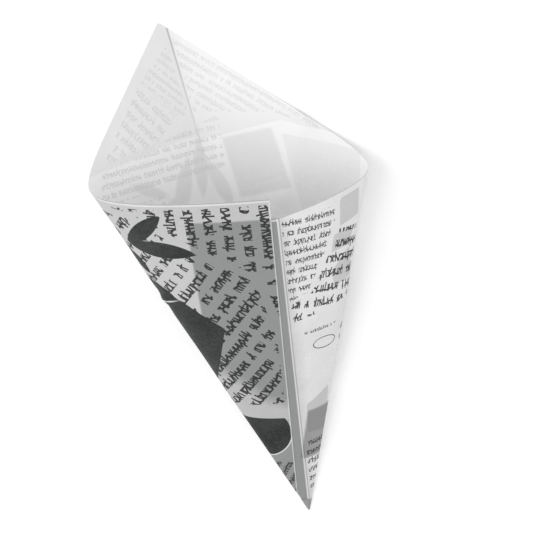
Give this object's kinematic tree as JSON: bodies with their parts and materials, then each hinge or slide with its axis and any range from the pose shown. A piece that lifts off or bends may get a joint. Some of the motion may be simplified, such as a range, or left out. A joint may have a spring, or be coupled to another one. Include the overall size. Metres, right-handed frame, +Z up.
{
  "type": "paper cone bag",
  "caption": "Pointed takeaway bag folded from one sheet of printed greaseproof paper, glued along the front, lying open with a square-cornered mouth.",
  "frame": {"origin": "under the middle of the bag's bounding box, on the surface that it lies on", "axes": "+Z up from the table, +Y from the tip along the back fold to the peak of the mouth, +X towards the round bend of the right panel"},
  "size_m": [0.1188, 0.262, 0.0653],
  "materials": {
    "greaseproof_paper": "satin, printed in greys outside, plain inside with the print showing through"
  },
  "bodies": {
    "root": {"cone_bag": "greaseproof_paper"}
  },
  "joints": []
}
